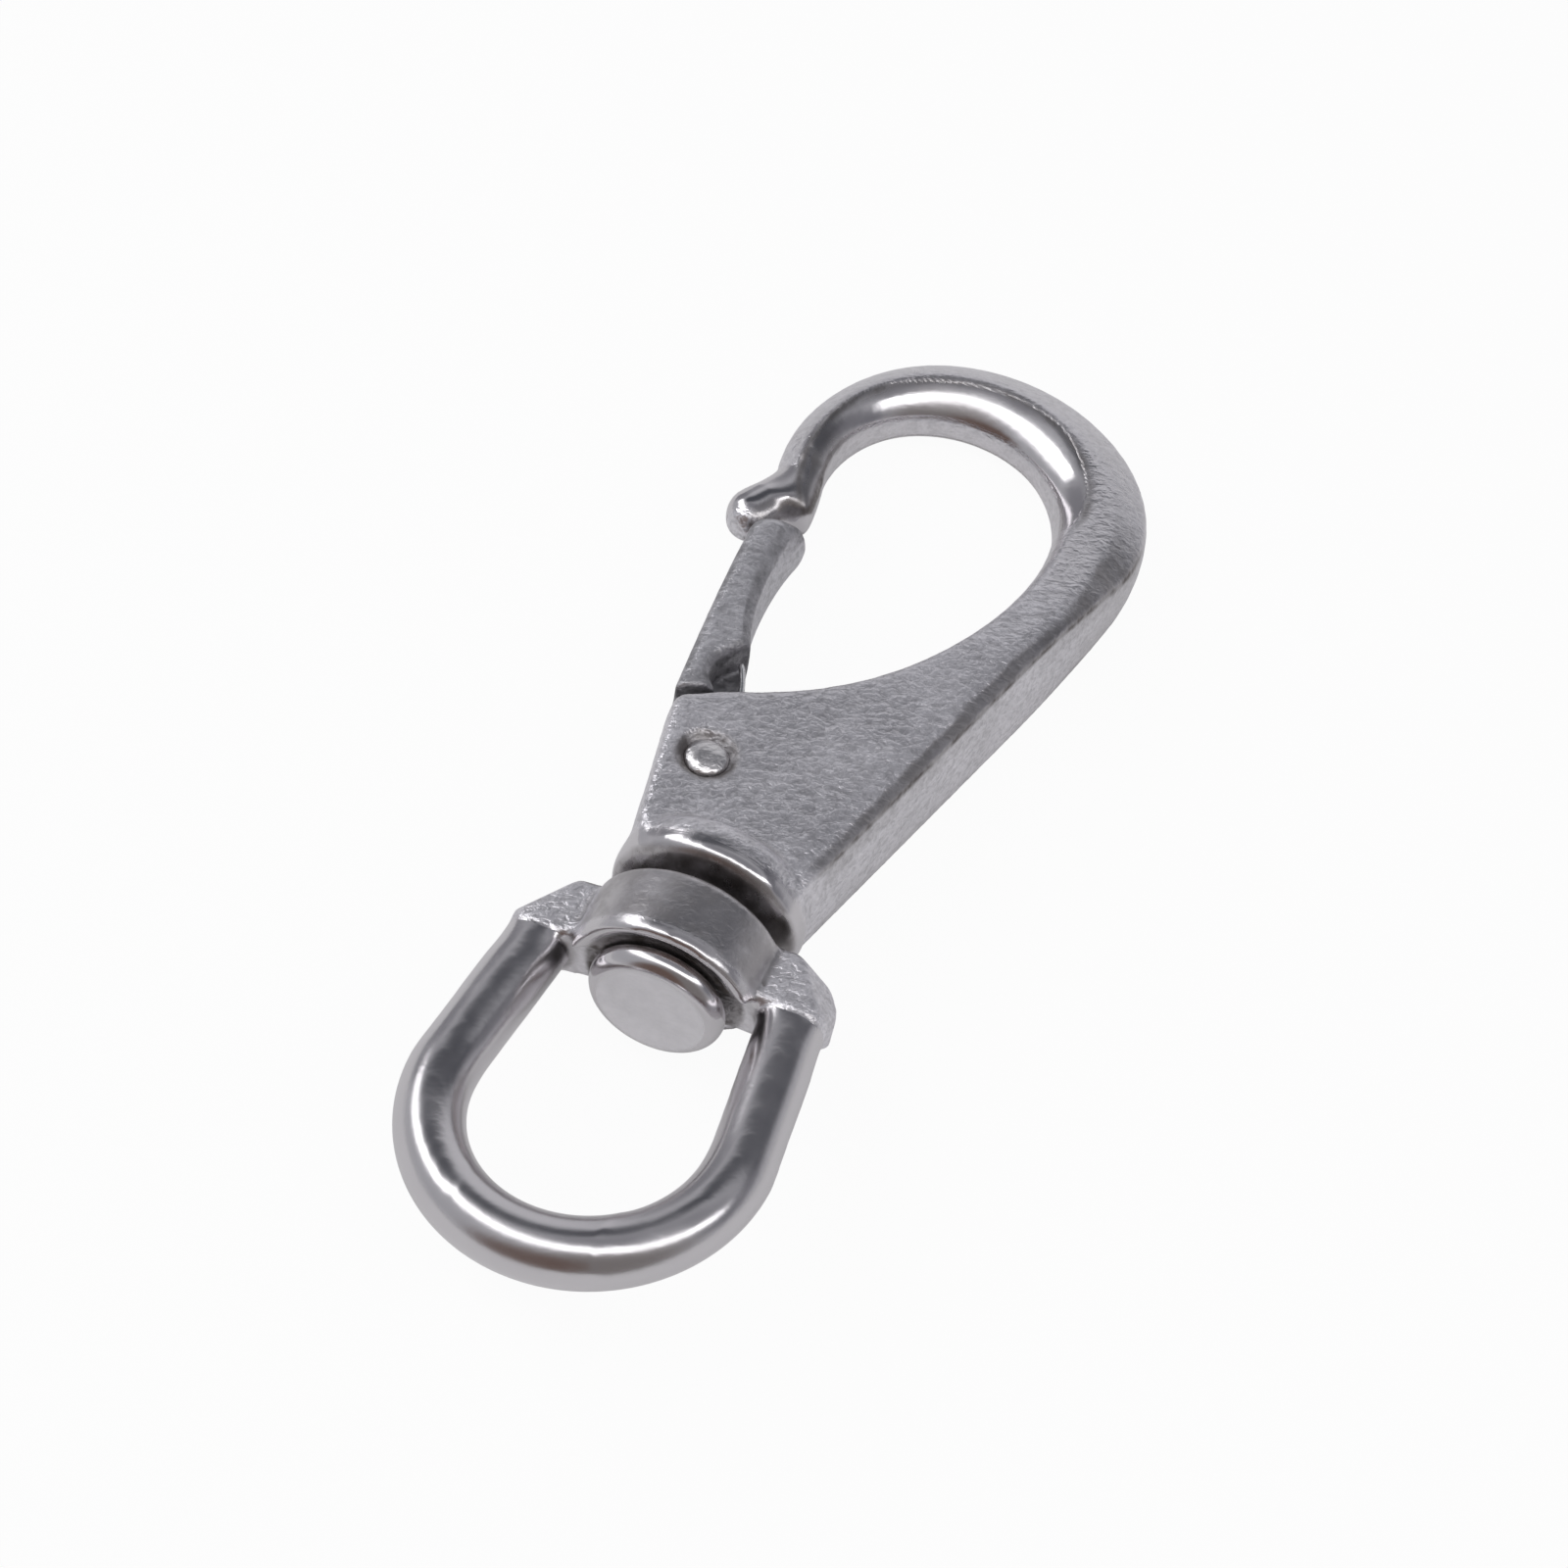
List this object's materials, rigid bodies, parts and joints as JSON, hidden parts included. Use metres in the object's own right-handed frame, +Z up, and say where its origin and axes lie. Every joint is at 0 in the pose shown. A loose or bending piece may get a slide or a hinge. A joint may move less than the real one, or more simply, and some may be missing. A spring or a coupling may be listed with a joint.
{
  "type": "swivel snap hook",
  "caption": "Cast stainless steel snap hook with a sprung gate that closes on the hook's nose and a round-bar eye that swivels on a headed pin in the collar.",
  "frame": {"origin": "centre of the eye's bow, on the swivel axis", "axes": "+X from the eye towards the hook's bow, +Y towards the gate, +Z up from the surface the hook lies on; the swivel axis dips from the origin towards the bow"},
  "size_m": [0.1085, 0.0364, 0.0181],
  "materials": {
    "cast_steel": "investment cast, tumbled, satin cheeks with a polished bow",
    "turned_steel": "turned, with a matt face and a polished edge",
    "eye_steel": "cast, polished bar and matt shoulders",
    "gate_steel": "cast, satin",
    "rivet_steel": "riveted over, bright",
    "spring_steel": "drawn wire, bright"
  },
  "bodies": {
    "hook": {"hook_body": "cast_steel", "swivel_pin": "turned_steel", "gate_pin": "rivet_steel", "gate_spring": "spring_steel"},
    "gate": {"gate": "gate_steel"},
    "eye": {"swivel_eye": "eye_steel"}
  },
  "joints": [
    {"name": "gate_hinge", "type": "hinge", "parent": "hook", "child": "gate", "pos_m": [0.0342, 0.0052, -0.00265], "axis": [0.0772, 0, 0.997], "range_deg": [-25, 0], "stiffness_Nm_per_rad": 0.2, "springref_deg": 22.92, "deforming": ["gate_spring"]},
    {"name": "eye_swivel", "type": "hinge", "parent": "hook", "child": "eye", "pos_m": [0, 0, 0], "axis": [0.997, 0, -0.0772], "continuous": true}
  ]
}
